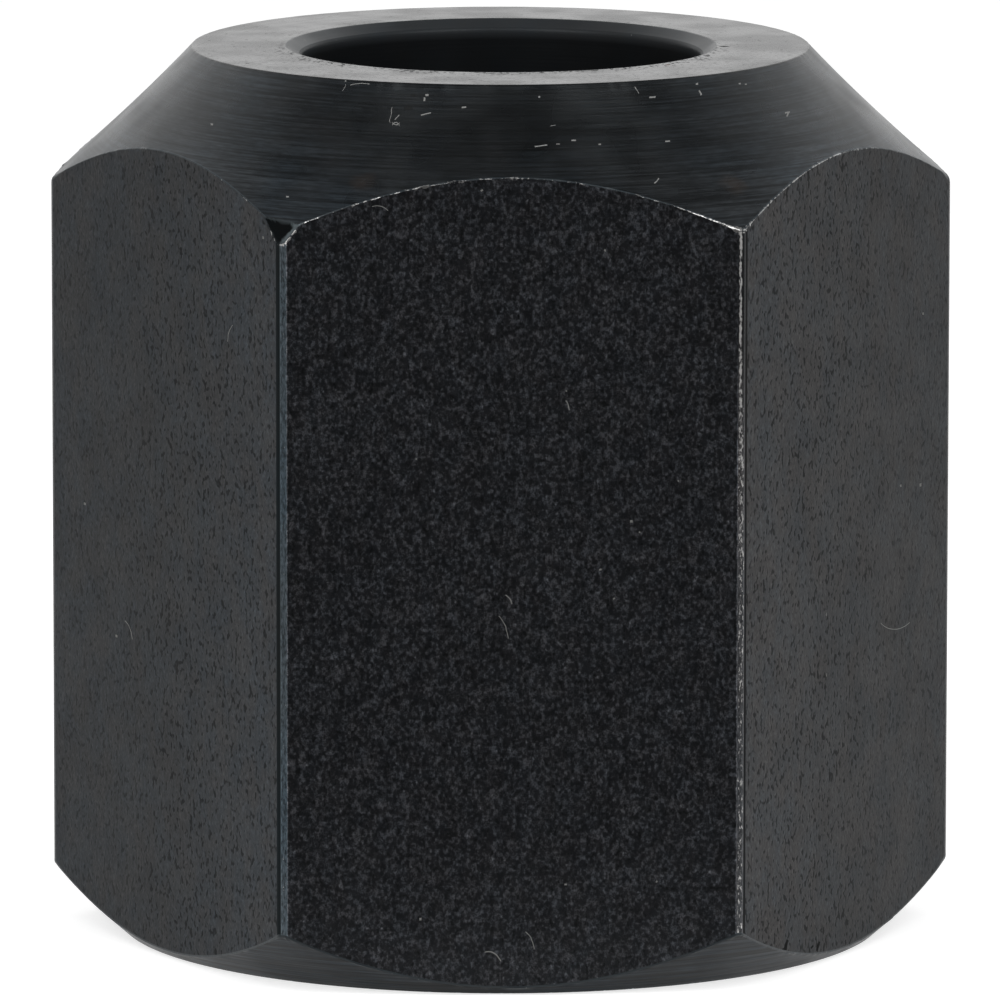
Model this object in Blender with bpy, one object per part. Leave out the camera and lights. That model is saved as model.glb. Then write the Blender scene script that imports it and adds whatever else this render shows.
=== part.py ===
"""Router collet nut: a hexagonal clamping nut with a coned nose, machined from one steel bar.

The origin is the centre of the open end's face, and +Z runs along the thread axis to the nose.
Lengths are in metres and angles in degrees. One wrench flat faces -Y.
"""

import math

import bmesh
import bpy
from mathutils import Matrix

# Internal thread, bored to its minor diameter
THREAD_MAJOR = 0.016
THREAD_PITCH = 0.0015
THREAD_DEPTH_SHARE = 1.0825
ENTRY_CLEARANCE = 0.00025
ENTRY_ANGLE = 45.0

# Outside of the bar and what is turned on it
HEIGHT = 0.0217
FLAT_WALL = 0.0015
CORNER_TRIM = 0.00003
NOSE_FACE_WIDTH = 0.002295
NOSE_ANGLE = 43.15
NOSE_HOLLOW = 0.000068
NOSE_EDGE_BREAK = 0.00005
TAIL_ANGLE = 41.3
TAIL_FACE_MARGIN = 0.0002

# Nose bore, and the cone that squeezes the collet
BORE_DIAMETER = 0.0097
BORE_LAND = 0.0022
MOUTH_CHAMFER_WIDTH = 0.00035
MOUTH_CHAMFER_DEPTH = 0.00024
SEAT_HALF_ANGLE = 30.0

# Collet room and thread runout
CAVITY_STEP = 0.0005
CAVITY_LENGTH = 0.0017
RELIEF_WIDTH = 0.0022
RELIEF_CLEARANCE = 0.0002
RELIEF_WALL_HALF_ANGLE = 60.0

# Mesh resolution
TURNED_FACETS = 120
NOSE_ARC_STEPS = 6
CUTTER_OVERRUN = 0.001
WELD_DISTANCE = 1e-7
SHARP_ANGLE = 20.0

# Sizes that follow from those above
HEX_SIDES = 6
ACROSS_FLATS = THREAD_MAJOR + 2 * FLAT_WALL
BAR_CORNER_RADIUS = ACROSS_FLATS / 2 / math.cos(math.pi / HEX_SIDES)
LAND_RADIUS = BAR_CORNER_RADIUS - CORNER_TRIM
TAIL_FACE_RADIUS = ACROSS_FLATS / 2 - TAIL_FACE_MARGIN
BORE_RADIUS = BORE_DIAMETER / 2
MOUTH_RADIUS = BORE_RADIUS + MOUTH_CHAMFER_WIDTH
NOSE_FACE_RADIUS = MOUTH_RADIUS + NOSE_FACE_WIDTH
THREAD_MINOR_RADIUS = (THREAD_MAJOR - THREAD_DEPTH_SHARE * THREAD_PITCH) / 2
ENTRY_RADIUS = THREAD_MAJOR / 2 + ENTRY_CLEARANCE
CAVITY_RADIUS = THREAD_MINOR_RADIUS - CAVITY_STEP
RELIEF_RADIUS = THREAD_MAJOR / 2 + RELIEF_CLEARANCE


def rise(run, angle):
    """Height gained over this run by a surface at this angle from the horizontal."""
    return run * math.tan(math.radians(angle))


def cone_length(run, half_angle):
    """Axial length of a cone that widens by this much at this angle from its axis."""
    return run / math.tan(math.radians(half_angle))


def clear_scene():
    for obj in list(bpy.data.objects):
        bpy.data.objects.remove(obj, do_unlink=True)


def mesh_object(name, bm):
    bmesh.ops.recalc_face_normals(bm, faces=bm.faces[:])
    mesh = bpy.data.meshes.new(name)
    bm.to_mesh(mesh)
    bm.free()
    obj = bpy.data.objects.new(name, mesh)
    bpy.context.scene.collection.objects.link(obj)
    return obj


def hollow_arc(start, end, depth):
    """(radius, z) points of an arc from start up to end, bowed towards the axis by this depth."""
    (r0, z0), (r1, z1) = start, end
    chord = math.hypot(r1 - r0, z1 - z0)
    along_r, along_z = (r1 - r0) / chord, (z1 - z0) / chord
    arc_radius = chord ** 2 / (8 * depth) + depth / 2
    half = math.asin(chord / 2 / arc_radius)
    points = []
    for step in range(NOSE_ARC_STEPS + 1):
        angle = half * (2 * step / NOSE_ARC_STEPS - 1)
        forward = chord / 2 + arc_radius * math.sin(angle)
        inward = arc_radius * (math.cos(angle) - math.cos(half))
        radius = r0 + forward * along_r - inward * along_z
        points.append((radius, z0 + forward * along_z + inward * along_r))
    return points


def turned_solid(name, section, facet_on_corner=False):
    """A closed solid spun about Z from (radius, z) points that start and end on the axis."""
    bm = bmesh.new()
    angle = math.pi / TURNED_FACETS if facet_on_corner else 0.0
    points = []
    for radius, z in section:
        points.append(bm.verts.new((radius * math.cos(angle), radius * math.sin(angle), z)))
    edges = [bm.edges.new(pair) for pair in zip(points, points[1:])]
    bmesh.ops.spin(
        bm,
        geom=points + edges,
        cent=(0, 0, 0),
        axis=(0, 0, 1),
        angle=2 * math.pi,
        steps=TURNED_FACETS,
        use_merge=True,
    )
    bmesh.ops.remove_doubles(bm, verts=bm.verts[:], dist=WELD_DISTANCE)
    return mesh_object(name, bm)


def hexagonal_bar(name):
    """The drawn bar that the nut is cut from, longer than it at both ends."""
    bm = bmesh.new()
    flat_to_front = Matrix.Rotation(math.pi / HEX_SIDES, 4, "Z")
    bmesh.ops.create_cone(
        bm,
        cap_ends=True,
        segments=HEX_SIDES,
        radius1=BAR_CORNER_RADIUS,
        radius2=BAR_CORNER_RADIUS,
        depth=HEIGHT + 2 * CUTTER_OVERRUN,
        matrix=Matrix.Translation((0, 0, HEIGHT / 2)) @ flat_to_front,
    )
    return mesh_object(name, bm)


def turned_envelope():
    """What the outside turning leaves: tail chamfer, corner land, hollow nose flank and nose face."""
    shoulder_z = rise(LAND_RADIUS - TAIL_FACE_RADIUS, TAIL_ANGLE)
    flank_top = (NOSE_FACE_RADIUS, HEIGHT - NOSE_EDGE_BREAK)
    flank_foot = (LAND_RADIUS, flank_top[1] - rise(LAND_RADIUS - NOSE_FACE_RADIUS, NOSE_ANGLE))
    section = [
        (0, 0),
        (TAIL_FACE_RADIUS, 0),
        (LAND_RADIUS, shoulder_z),
        *hollow_arc(flank_foot, flank_top, NOSE_HOLLOW),
        (NOSE_FACE_RADIUS - NOSE_EDGE_BREAK, HEIGHT),
        (0, HEIGHT),
    ]
    return turned_solid("turned_envelope", section, facet_on_corner=True)


def bored_hollow():
    """All that boring removes: thread entry, thread bore, relief, collet room, seat, bore and mouth."""
    entry_top = rise(ENTRY_RADIUS - THREAD_MINOR_RADIUS, ENTRY_ANGLE)
    entry_flare = cone_length(CUTTER_OVERRUN, ENTRY_ANGLE)
    bore_top = HEIGHT - MOUTH_CHAMFER_DEPTH
    mouth_flare = CUTTER_OVERRUN * MOUTH_CHAMFER_WIDTH / MOUTH_CHAMFER_DEPTH
    seat_top = bore_top - BORE_LAND
    seat_foot = seat_top - cone_length(CAVITY_RADIUS - BORE_RADIUS, SEAT_HALF_ANGLE)
    relief_top = seat_foot - CAVITY_LENGTH
    relief_foot = relief_top - RELIEF_WIDTH
    lower_lean = cone_length(RELIEF_RADIUS - THREAD_MINOR_RADIUS, RELIEF_WALL_HALF_ANGLE)
    upper_lean = cone_length(RELIEF_RADIUS - CAVITY_RADIUS, RELIEF_WALL_HALF_ANGLE)
    section = [
        (0, -CUTTER_OVERRUN),
        (ENTRY_RADIUS + entry_flare, -CUTTER_OVERRUN),
        (THREAD_MINOR_RADIUS, entry_top),
        (THREAD_MINOR_RADIUS, relief_foot),
        (RELIEF_RADIUS, relief_foot + lower_lean),
        (RELIEF_RADIUS, relief_top - upper_lean),
        (CAVITY_RADIUS, relief_top),
        (CAVITY_RADIUS, seat_foot),
        (BORE_RADIUS, seat_top),
        (BORE_RADIUS, bore_top),
        (MOUTH_RADIUS + mouth_flare, HEIGHT + CUTTER_OVERRUN),
        (0, HEIGHT + CUTTER_OVERRUN),
    ]
    return turned_solid("bored_hollow", section)


def machine(blank, name, operation, tool):
    """Cuts the blank with a guide solid, which stays out of the render."""
    tool.hide_render = True
    tool.display_type = "WIRE"
    modifier = blank.modifiers.new(name, "BOOLEAN")
    modifier.operation = operation
    modifier.solver = "EXACT"
    modifier.object = tool


def black_oxide_steel():
    material = bpy.data.materials.new("black_oxide_steel")
    material.use_nodes = True
    shader = material.node_tree.nodes["Principled BSDF"]
    shader.inputs["Base Color"].default_value = (0.045, 0.050, 0.055, 1)
    shader.inputs["Metallic"].default_value = 0.9
    shader.inputs["Roughness"].default_value = 0.42
    return material


def finish(nut, material):
    """Keeps the machined shape as the nut's own mesh, with smooth rounds and crisp edges."""
    depsgraph = bpy.context.evaluated_depsgraph_get()
    machined = bpy.data.meshes.new_from_object(nut.evaluated_get(depsgraph))
    nut.modifiers.clear()
    nut.data = machined
    machined.shade_smooth()
    machined.set_sharp_from_angle(angle=math.radians(SHARP_ANGLE))
    machined.materials.clear()
    machined.materials.append(material)


def make_collet_nut():
    nut = hexagonal_bar("collet_nut")
    machine(nut, "turn_outside", "INTERSECT", turned_envelope())
    machine(nut, "bore_through", "DIFFERENCE", bored_hollow())
    finish(nut, black_oxide_steel())


def main():
    clear_scene()
    make_collet_nut()


main()
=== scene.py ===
import math

import bmesh
import bpy
import numpy as np
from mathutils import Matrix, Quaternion, Vector


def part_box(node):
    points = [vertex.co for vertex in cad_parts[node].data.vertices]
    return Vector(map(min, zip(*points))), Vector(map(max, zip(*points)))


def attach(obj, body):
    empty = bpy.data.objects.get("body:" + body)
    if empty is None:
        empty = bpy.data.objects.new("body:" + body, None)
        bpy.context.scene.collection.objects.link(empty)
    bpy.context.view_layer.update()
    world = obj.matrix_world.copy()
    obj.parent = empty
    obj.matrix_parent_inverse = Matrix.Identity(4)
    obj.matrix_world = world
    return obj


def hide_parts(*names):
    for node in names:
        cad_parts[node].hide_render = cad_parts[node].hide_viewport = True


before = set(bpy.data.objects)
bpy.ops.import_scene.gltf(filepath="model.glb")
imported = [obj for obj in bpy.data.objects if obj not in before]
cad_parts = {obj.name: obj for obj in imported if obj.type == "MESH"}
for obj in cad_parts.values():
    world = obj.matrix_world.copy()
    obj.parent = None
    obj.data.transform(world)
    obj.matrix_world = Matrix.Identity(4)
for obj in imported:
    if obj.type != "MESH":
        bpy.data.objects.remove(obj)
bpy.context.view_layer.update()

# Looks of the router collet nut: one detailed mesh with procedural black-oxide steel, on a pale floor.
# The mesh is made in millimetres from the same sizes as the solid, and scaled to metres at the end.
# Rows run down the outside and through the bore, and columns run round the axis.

MM = 0.001
NODE = "collet_nut"
node_low, node_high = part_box(NODE)

# Sizes that the solid gives, with the nose face a little lower as the photograph shows it
NOSE_DROP = 0.044
HEIGHT = node_high.z / MM - NOSE_DROP
APOTHEM = node_high.y / MM
LAND_RADIUS = node_high.x / MM
HEX_SIDES = 6
SECTOR = 2 * math.pi / HEX_SIDES

# Nose
NOSE_FACE_RADIUS = 7.55
NOSE_ANGLE = math.radians(43.22)
NOSE_HOLLOW = 0.068
NOSE_EDGE_BREAK = 0.05
NOSE_EDGE_ROUND = 0.05
NOSE_SHIFT = -0.02

# Open end
TAIL_ANGLE = math.radians(41.3)
TAIL_FACE_RADIUS = APOTHEM - 0.2
TAIL_EDGE_ROUND = 0.08

# Edges that the hexagon makes
ARC_ROUND = 0.03
VERTEX_REACH = 0.35
CORNER_BLEND = 0.03
CORNER_ZONE = 0.235
TAIL_VERTEX_SHARE = 0.9

# How far each corner differs from the mean one, from the front-right corner on, anticlockwise from above
CORNER_CHANGE = (-0.01, 0.025, 0.0, -0.005, 0.025, -0.025)
VERTEX_ROUND = (0.05, 0.25, 0.12, 0.15, 0.14, 0.08)
VERTEX_SPREAD = (0.13, 0.0, 0.0, 0.0, 0.0, 0.0)

# Band of wear and painted highlight along each corner, and the line of painted shade beside it, as places from the
# corner along the flats
CORNER_BAND = ((-0.11, 0.12), (-0.1, 0.1), (-0.1, 0.1), (-0.1, 0.1), (-0.1, 0.1), (-0.03, 0.165))
CORNER_SHADE_LINE = ((0.12, 0.23), (0.1, 0.16), (0.1, 0.16), (-0.16, -0.1), (-0.16, -0.1), (-0.17, -0.03))
BAND_PAINTED_LIGHT = (4.2, 3.0, 3.0, 3.0, 3.0, 5.6)
LINE_PAINTED_SHADE = (1.0, 1.0, 1.0, 1.0, 1.0, 1.2)

# How far down the front-right corner its band is narrow, and how dark the painted shade on its sides is there
NARROW_END = (0.16, 0.26)
NARROW_PAINTED_SHADE = 0.2
NARROW_SHIFT = (0.4, 0.0, 0.0, 0.0, 0.0, 0.0)

# Painted light and shade inside the dent, from a painted highlight at its edge to painted shade at its deepest
# part, and how the painted highlight widens to the right
DENT_PAINTED_LIGHT = (6.5, 0.3)
DENT_DARK_DEPTH = (0.02, 0.06)
DENT_HIGHLIGHT_SLANT = 0.4

# Painted light and shade on the flank: how light it is at shares of the way down, and how much lighter it gets
# away from the front
FLANK_PAINTED_LIGHT = ((0.0, 0.25, 0.5, 0.8), (1.2, 0.5, 0.9, 2.1))
FLANK_SIDE_LIGHT = (0.35, 2.0)

# How much lighter the side flats are at the front corners
INNER_LIFT = 0.8

# Bore, seat, collet room and groove
BORE_RADIUS = 4.85
BORE_LAND = 2.2
MOUTH_RADIUS = BORE_RADIUS + 0.35
MOUTH_DEPTH = 0.24
MOUTH_ROUND = 0.05
# Painted shade in the bore: between these depths below the mouth its colour darkens to the share below
BORE_SHADE_FADE = (0.08, 0.24)
BORE_PAINTED_SHADE = 0.3
SEAT_HALF_ANGLE = math.radians(30.0)
CAVITY_STEP = 0.5
CAVITY_LENGTH = 1.7
RELIEF_WIDTH = 2.2
RELIEF_WALL_SLOPE = math.tan(math.radians(60.0))

# Internal thread
THREAD_MAJOR_RADIUS = 8.0
THREAD_PITCH = 1.5
THREAD_MINOR_RADIUS = THREAD_MAJOR_RADIUS - 1.0825 * THREAD_PITCH / 2
ENTRY_RADIUS = THREAD_MAJOR_RADIUS + 0.25
RELIEF_RADIUS = THREAD_MAJOR_RADIUS + 0.2
CAVITY_RADIUS = THREAD_MINOR_RADIUS - CAVITY_STEP

# Mesh density
FLAT_STEPS = 76
CORNER_STEPS = 9
OUTER_PER_INNER = 5
ROUND_STEPS = 4
SMOOTH_LIMIT = math.radians(35.0)
WELD = 1e-4

# Dent above the front-left corner: a plane that cuts the corner steeper than the nose flank does
DENT_CORNER = math.radians(-120.0)
DENT_TURN = math.radians(-4.0)
DENT_FOOT = 0.37
DENT_TOP_RADIUS_DROP = 0.275
DENT_TOP_RISE = 0.26

# How worn each arc is at five places from its start to its end, from the front flat's on, anticlockwise from above
ARC_WEAR = (
    (0.74, 0.80, 0.50, 0.42, 0.98),
    (0.84, 0.86, 0.74, 0.36, 0.16),
    (0.40, 0.50, 0.60, 0.60, 0.60),
    (0.60, 0.50, 0.50, 0.50, 0.60),
    (0.50, 0.40, 0.40, 0.40, 0.50),
    (0.18, 0.20, 0.28, 0.38, 0.48),
)

# How worn each corner is at its top, middle and bottom
CORNER_WEAR = (
    (0.90, 0.54, 0.56),
    (0.30, 0.30, 0.30),
    (0.50, 0.40, 0.50),
    (0.50, 0.40, 0.40),
    (0.30, 0.30, 0.30),
    (0.30, 0.22, 0.36),
)
FRONT = math.radians(-90.0)


def smooth_min(a, b, blend):
    """The smaller of two lengths, rounded over where they cross."""
    share = np.clip(0.5 + 0.5 * (b - a) / blend, 0, 1)
    return b * (1 - share) + a * share - blend * share * (1 - share)


def column_offsets():
    """Places along one flat from its left corner to its right one, closer together at the corners."""
    corner = APOTHEM * math.tan(SECTOR / 2)
    along_flat = np.linspace(0, corner - CORNER_ZONE, FLAT_STEPS + 1)
    at_corner = np.linspace(corner - CORNER_ZONE, corner, CORNER_STEPS + 1)[1:]
    half = np.concatenate([along_flat, at_corner])
    return np.concatenate([-half[:0:-1], half[:-1]])


OFFSETS = column_offsets()
OUTER_COLUMNS = len(OFFSETS) * HEX_SIDES
INNER_COLUMNS = OUTER_COLUMNS // OUTER_PER_INNER


def outer_angles():
    """Polar angle of each outer column, starting at the front flat's left corner."""
    local = np.arctan2(OFFSETS, APOTHEM)
    return np.concatenate([FRONT + side * SECTOR + local for side in range(HEX_SIDES)])


def inner_angles():
    start = FRONT - SECTOR / 2
    return start + np.arange(INNER_COLUMNS) * 2 * math.pi / INNER_COLUMNS


def outline_radius(angles):
    """Distance from the axis to the hexagon with its trimmed, slightly rounded corners."""
    local = (angles - FRONT + SECTOR / 2) % SECTOR - SECTOR / 2
    nearest = np.round((angles - FRONT) / SECTOR - 0.5).astype(int) % HEX_SIDES
    land = LAND_RADIUS + np.array(CORNER_CHANGE)[nearest]
    return smooth_min(APOTHEM / np.cos(local), land, CORNER_BLEND)


def flank_arc():
    """Centre (radius, z) and radius of the hollow arc that the nose flank is turned to."""
    top = np.array([NOSE_FACE_RADIUS, HEIGHT - NOSE_EDGE_BREAK])
    run = LAND_RADIUS - NOSE_FACE_RADIUS
    foot = np.array([LAND_RADIUS, top[1] - run * math.tan(NOSE_ANGLE)])
    chord = foot - top
    length = float(np.hypot(*chord))
    arc = length ** 2 / (8 * NOSE_HOLLOW) + NOSE_HOLLOW / 2
    outward = np.array([-chord[1], chord[0]]) / length
    centre = (top + foot) / 2 + outward * (arc - NOSE_HOLLOW)
    return centre, arc


FLANK_CENTRE, FLANK_RADIUS = flank_arc()


def flank_height(radius):
    return FLANK_CENTRE[1] - np.sqrt(FLANK_RADIUS ** 2 - (radius - FLANK_CENTRE[0]) ** 2)


def flank_slope(radius):
    """Angle of the flank below the horizontal."""
    lean = (FLANK_CENTRE[0] - radius) / (FLANK_CENTRE[1] - flank_height(radius))
    return np.arctan(lean)


class Rows:
    """Rings of points from one end of a surface to the other, with what each ring is."""

    def __init__(self, count):
        self.count = count
        self.radius = []
        self.height = []
        self.wear = []
        self.zone = []

    def add(self, radius, height, zone, wear=0.0):
        full = np.ones(self.count)
        self.radius.append(radius * full)
        self.height.append(height * full)
        self.wear.append(wear * full)
        self.zone.append(zone)

    def round(self, centre_radius, centre_height, size, start, end, zone, wear, steps=ROUND_STEPS):
        """An arc between two angles, which may differ from column to column."""
        for step in range(steps + 1):
            angle = start + (end - start) * step / steps
            self.add(
                centre_radius + size * np.cos(angle),
                centre_height + size * np.sin(angle),
                zone,
                wear * (1.0 if 0 < step < steps else 0.7),
            )

    def points(self, angles):
        radius = np.array(self.radius)
        height = np.array(self.height)
        return np.stack([radius * np.cos(angles), radius * np.sin(angles), height], axis=2)


def arc_wear(angles):
    """How worn the edge is where the flank meets this column's flat."""
    side = (angles - FRONT) / SECTOR + 0.5
    flat = np.floor(side + 1e-6).astype(int) % HEX_SIDES
    share = side - np.floor(side + 1e-6)
    places = np.linspace(0, 1, len(ARC_WEAR[0]))
    worn = [np.interp(share, places, row) for row in ARC_WEAR]
    return np.choose(flat, worn)


def by_corner(angles, values):
    """The value that belongs to the vertical corner nearest to each column."""
    nearest = np.round((angles - FRONT) / SECTOR - 0.5).astype(int) % HEX_SIDES
    return np.array(values)[nearest]


def corner_gap(angles):
    """Distance from each column to the nearest corner, measured along the flat, in millimetres."""
    local = (angles - FRONT + SECTOR / 2) % SECTOR - SECTOR / 2
    half = APOTHEM * math.tan(SECTOR / 2)
    return np.where(local > 0, APOTHEM * np.tan(local) - half, APOTHEM * np.tan(local) + half)


def place_in_band(angles):
    """Place across the light band of the nearest corner: -1 and 1 at its two edges."""
    low, high = by_corner(angles, CORNER_BAND).T
    return (corner_gap(angles) - (low + high) / 2) / ((high - low) / 2)


def shifted_place(angles, depth):
    """Place across the band, counted from its narrow part near the top, which isn't in the middle."""
    return place_in_band(angles) + by_corner(angles, NARROW_SHIFT) * np.interp(depth, NARROW_END, (1.0, 0.0))


def corner_wear(angles, depth):
    """How worn each column is by its corner, at each share of the way down from the arcs."""
    narrow = np.interp(depth, NARROW_END, (3.2, 0.6))
    across = np.clip(1.15 - shifted_place(angles, depth) ** 2 * narrow, 0, 1)
    worn = [np.interp(depth, (0, 0.5, 1), row) for row in CORNER_WEAR]
    nearest = np.round((angles - FRONT) / SECTOR - 0.5).astype(int) % HEX_SIDES
    inside = np.abs(place_in_band(angles)) <= 1
    return np.choose(nearest, worn) * across * inside


def inner_lift(angles):
    """The side flats are a little lighter towards the front."""
    facing = -np.sin(angles)
    share = np.clip((facing - 0.4) / 0.46, 0, 1) ** 2
    return np.where(facing < math.cos(SECTOR / 2), 1 + INNER_LIFT * share, 1.0)


def corner_tone_and_painted_light(angles, depth):
    """Painted light on the flats: how much lighter the corner bands are painted than the flats, and how dark the
    painted shade lines beside them are, down the flats.
    """
    across = place_in_band(angles)
    lit = by_corner(angles, BAND_PAINTED_LIGHT) * (0.7 + 0.6 * across ** 4)
    narrow = np.interp(depth, NARROW_END, (NARROW_PAINTED_SHADE, 1.0))
    front_right = np.abs(angles - FRONT - SECTOR / 2) < SECTOR / 4
    lit = np.where(front_right & (np.abs(shifted_place(angles, depth)) > 0.3), lit * narrow, lit)
    low, high = by_corner(angles, CORNER_SHADE_LINE).T
    gap = corner_gap(angles)
    beside = np.where((gap > low) & (gap < high), by_corner(angles, LINE_PAINTED_SHADE), inner_lift(angles))
    return np.where(np.abs(across) <= 1, lit, beside)


def painted_flank_light(angles, height):
    """Painted light and shade on the flank: lighter towards its foot and away from the front."""
    down = (HEIGHT - height) / (HEIGHT - flank_height(LAND_RADIUS))
    aside = np.clip(1 + np.sin(angles), 0, FLANK_SIDE_LIGHT[0]) / FLANK_SIDE_LIGHT[0]
    return np.interp(down, *FLANK_PAINTED_LIGHT) + FLANK_SIDE_LIGHT[1] * aside


def arc_round(angles, share=1.0):
    """Radius of the edge along each arc, which grows where two arcs meet at a corner."""
    return ARC_ROUND + share * by_corner(angles, VERTEX_ROUND) * np.exp(-(corner_gap(angles) / VERTEX_REACH) ** 2)


def ragged(count, spacing, seed):
    """A smooth closed row of random values from -1 to 1, with a new one every few columns."""
    rng = np.random.default_rng(seed)
    knots = count // spacing
    values = rng.uniform(-1, 1, knots)
    place = np.arange(count) / count * knots
    return np.interp(place, np.arange(knots + 1), np.append(values, values[0]))


def beads(count, seed):
    """Scattered beads of metal along an edge, from 0 to 1."""
    return np.clip((ragged(count, 4, seed) - 0.62) / 0.38, 0, 1)


def burrs(count, seed):
    """How far a worn edge stands out of line, in millimetres."""
    return 0.014 * ragged(count, 2, seed) + 0.045 * beads(count, seed + 1)


FLANK_FOOT_STEPS = (0.75, 0.55, 0.4, 0.28, 0.18, 0.1, 0.05, 0.02)
FLAT_TOP_STEPS = (0.02, 0.05, 0.1, 0.18, 0.28, 0.4, 0.55)
FLAT_END_STEPS = (0.5, 0.25, 0.1, 0.03)
UPPER_SEED = 3
LOWER_SEED = 11


def outer_rows(angles):
    """Rows from the nose face over the flank and down the flats to the open end's face."""
    count = len(angles)
    rows = Rows(count)
    edge = outline_radius(angles)
    size = arc_round(angles)
    shift = NOSE_SHIFT * np.cos(angles)

    slope = flank_slope(NOSE_FACE_RADIUS)
    lean = (NOSE_EDGE_ROUND + (NOSE_EDGE_BREAK - NOSE_EDGE_ROUND) * math.cos(slope)) / math.sin(slope)
    nose_centre = NOSE_FACE_RADIUS - lean + shift + 0.006 * ragged(count, 3, 31)
    rows.add(nose_centre - 0.3, HEIGHT, "nose_face")
    rows.add(nose_centre - 0.04, HEIGHT, "nose_face")
    rows.round(
        nose_centre, HEIGHT - NOSE_EDGE_ROUND, NOSE_EDGE_ROUND,
        math.pi / 2, math.pi / 2 - slope, "nose_face", 0.1, steps=4,
    )

    flank_top = NOSE_FACE_RADIUS - lean + shift + NOSE_EDGE_ROUND * math.sin(slope)
    foot_slope = flank_slope(edge - shift)
    flank_foot = edge - size * (1 - np.sin(foot_slope))
    rows.add(flank_top + 0.03, flank_height(flank_top + 0.03 - shift), "nose_flank")
    above_steps = flank_foot - FLANK_FOOT_STEPS[0]
    for share in (0.15, 0.35, 0.55, 0.78):
        radius = flank_top + (above_steps - flank_top) * share
        rows.add(radius, flank_height(radius - shift), "nose_flank")

    worn = arc_wear(angles) + 0.2 * ragged(count, 6, 5) + 0.35 * beads(count, UPPER_SEED + 1)
    spread = 0.035 + 0.025 * ragged(count, 6, 21)
    spread += by_corner(angles, VERTEX_SPREAD) * np.exp(-(corner_gap(angles) / 0.2) ** 2)
    for step in FLANK_FOOT_STEPS:
        radius = flank_foot - step
        rows.add(radius, flank_height(radius - shift), "nose_flank", worn * np.clip(1.1 - step / spread, 0, 1))
    rise = size * (np.sin(foot_slope) - 1) / np.cos(foot_slope)
    arc_height = flank_height(edge - shift) + rise
    rows.round(
        edge - size, arc_height, size, math.pi / 2 - foot_slope, 0.0, "worn_arc", worn,
    )

    size = arc_round(angles, TAIL_VERTEX_SHARE)
    tail_height = (edge - TAIL_FACE_RADIUS) * math.tan(TAIL_ANGLE)
    tail_centre = tail_height + size * (1 - math.sin(TAIL_ANGLE)) / math.cos(TAIL_ANGLE)
    for step in FLAT_TOP_STEPS:
        rows.add(edge, arc_height - step, "flat", worn * np.clip(1.1 - step / spread, 0, 1))
    upper, lower = arc_height - FLAT_TOP_STEPS[-1], tail_centre + FLAT_END_STEPS[0]
    for share in (0.12, 0.3, 0.5, 0.7, 0.88):
        rows.add(edge, upper + (lower - upper) * share, "flat")
    for step in FLAT_END_STEPS:
        rows.add(edge, tail_centre + step, "flat")
    rows.round(
        edge - size, tail_centre, size, 0.0, TAIL_ANGLE - math.pi / 2, "worn_arc", 0.3 * worn,
    )

    chamfer_top = edge - size * (1 - math.sin(TAIL_ANGLE))
    end_centre = TAIL_FACE_RADIUS - TAIL_EDGE_ROUND * (1 - math.cos(TAIL_ANGLE)) / math.sin(TAIL_ANGLE)
    chamfer_foot = end_centre + TAIL_EDGE_ROUND * math.sin(TAIL_ANGLE)
    for radius in (chamfer_top - 0.03, chamfer_top - 0.08):
        rows.add(radius, (radius - TAIL_FACE_RADIUS) * math.tan(TAIL_ANGLE), "tail_chamfer")
    for share in (0.35, 0.65, 0.95):
        radius = chamfer_top + (chamfer_foot - chamfer_top) * share
        rows.add(radius, (radius - TAIL_FACE_RADIUS) * math.tan(TAIL_ANGLE), "tail_chamfer")
    rows.round(
        end_centre, TAIL_EDGE_ROUND, TAIL_EDGE_ROUND,
        TAIL_ANGLE - math.pi / 2, -math.pi / 2, "tail_chamfer", 0.6,
    )
    rows.add(end_centre - 0.03, 0.0, "tail_face")
    rows.add(end_centre - 0.2, 0.0, "tail_face")
    return rows


def roughen_edges(points, rows, angles):
    """Pushes the worn arcs in and out along their own normals, so that they aren't drawn with a ruler."""
    worn = [k for k, zone in enumerate(rows.zone) if zone == "worn_arc"]
    upper = [k for k in worn if rows.height[k].mean() > HEIGHT / 2]
    lower = [k for k in worn if k not in upper]
    for group, lean, seed, most in ((upper, 1.0, UPPER_SEED, 1.0), (lower, -1.0, LOWER_SEED, 0.4)):
        push = burrs(len(angles), seed) * most * (0.2 + 0.8 * arc_wear(angles))
        for row in range(group[0] - 1, group[-1] + 2):
            place = (row - group[0] + 1) / (group[-1] - group[0] + 2)
            weight = math.sin(math.pi * place) * 0.7 + 0.15
            points[row, :, 0] += push * weight * np.cos(angles)
            points[row, :, 1] += push * weight * np.sin(angles)
            points[row, :, 2] += push * weight * lean


def meet_dent(points, above):
    """Moves the nearest rows onto the dent's edges, so that each edge is one clean line."""
    for row in range(len(points) - 1):
        for column in np.nonzero((above[row] > 0) != (above[row + 1] > 0))[0]:
            share = above[row, column] / (above[row, column] - above[row + 1, column])
            meeting = points[row, column] + share * (points[row + 1, column] - points[row, column])
            points[row + int(share > 0.5), column] = meeting


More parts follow.
